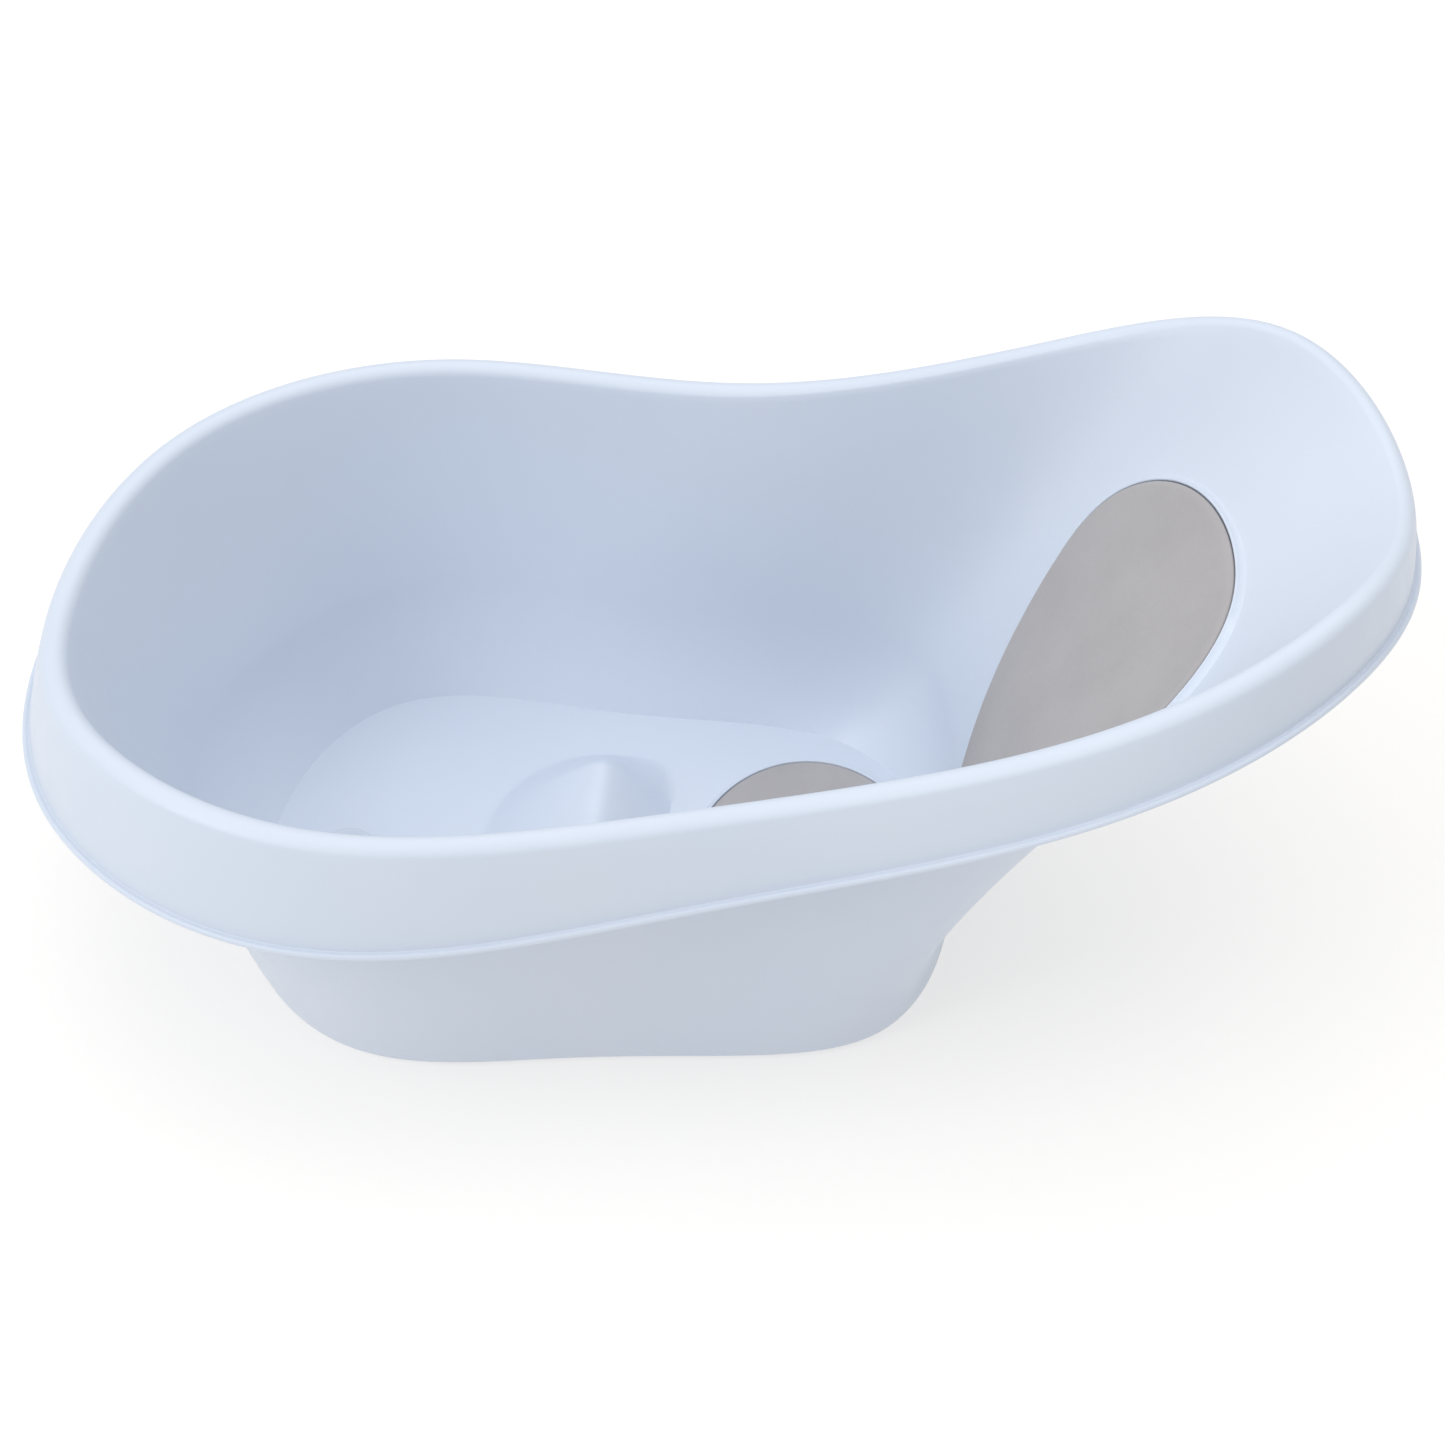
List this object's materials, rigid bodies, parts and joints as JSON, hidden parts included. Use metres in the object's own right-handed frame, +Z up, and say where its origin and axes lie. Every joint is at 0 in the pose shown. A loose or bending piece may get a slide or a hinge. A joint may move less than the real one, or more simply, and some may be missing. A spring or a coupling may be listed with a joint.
{
  "type": "baby bathtub",
  "caption": "Moulded baby bathtub with rolled rim and outer apron, raised seat bump, soft back and seat pads, drain plug and fold-away legs.",
  "frame": {"origin": "on the ground under the middle of the tub, as it rests on its rubber feet", "axes": "+X from the foot end to the raised head end, +Y to the tub's left side, +Z up"},
  "size_m": [0.7151, 0.446, 0.2982],
  "materials": {
    "tub_plastic": "satin",
    "soft_pad": "matte",
    "plug_plastic": "satin",
    "dark_rubber": "matte",
    "pin_plastic": "satin"
  },
  "bodies": {
    "tub": {"tub_shell": "tub_plastic", "backrest_pad": "soft_pad", "seat_pad": "soft_pad", "foot_front_left": "dark_rubber", "foot_front_right": "dark_rubber", "foot_rear_left": "dark_rubber", "foot_rear_right": "dark_rubber", "leg_pin_left": "pin_plastic", "leg_pin_right": "pin_plastic"},
    "plug": {"drain_plug": "plug_plastic"},
    "left_leg": {"leg_left": "tub_plastic", "leg_tip_left": "dark_rubber"},
    "right_leg": {"leg_right": "tub_plastic", "leg_tip_right": "dark_rubber"}
  },
  "joints": [
    {"name": "plug_lift", "type": "slide", "parent": "tub", "child": "plug", "axis": [0, 0, 1], "range_m": [0, 0.03]},
    {"name": "left_leg_fold", "type": "hinge", "parent": "tub", "child": "left_leg", "pos_m": [0.19897, 0.062, 0.1411], "axis": [0, 1, 0], "range_deg": [0, 137]},
    {"name": "right_leg_fold", "type": "hinge", "parent": "tub", "child": "right_leg", "pos_m": [0.19897, -0.062, 0.1411], "axis": [0, 1, 0], "range_deg": [0, 137]}
  ]
}
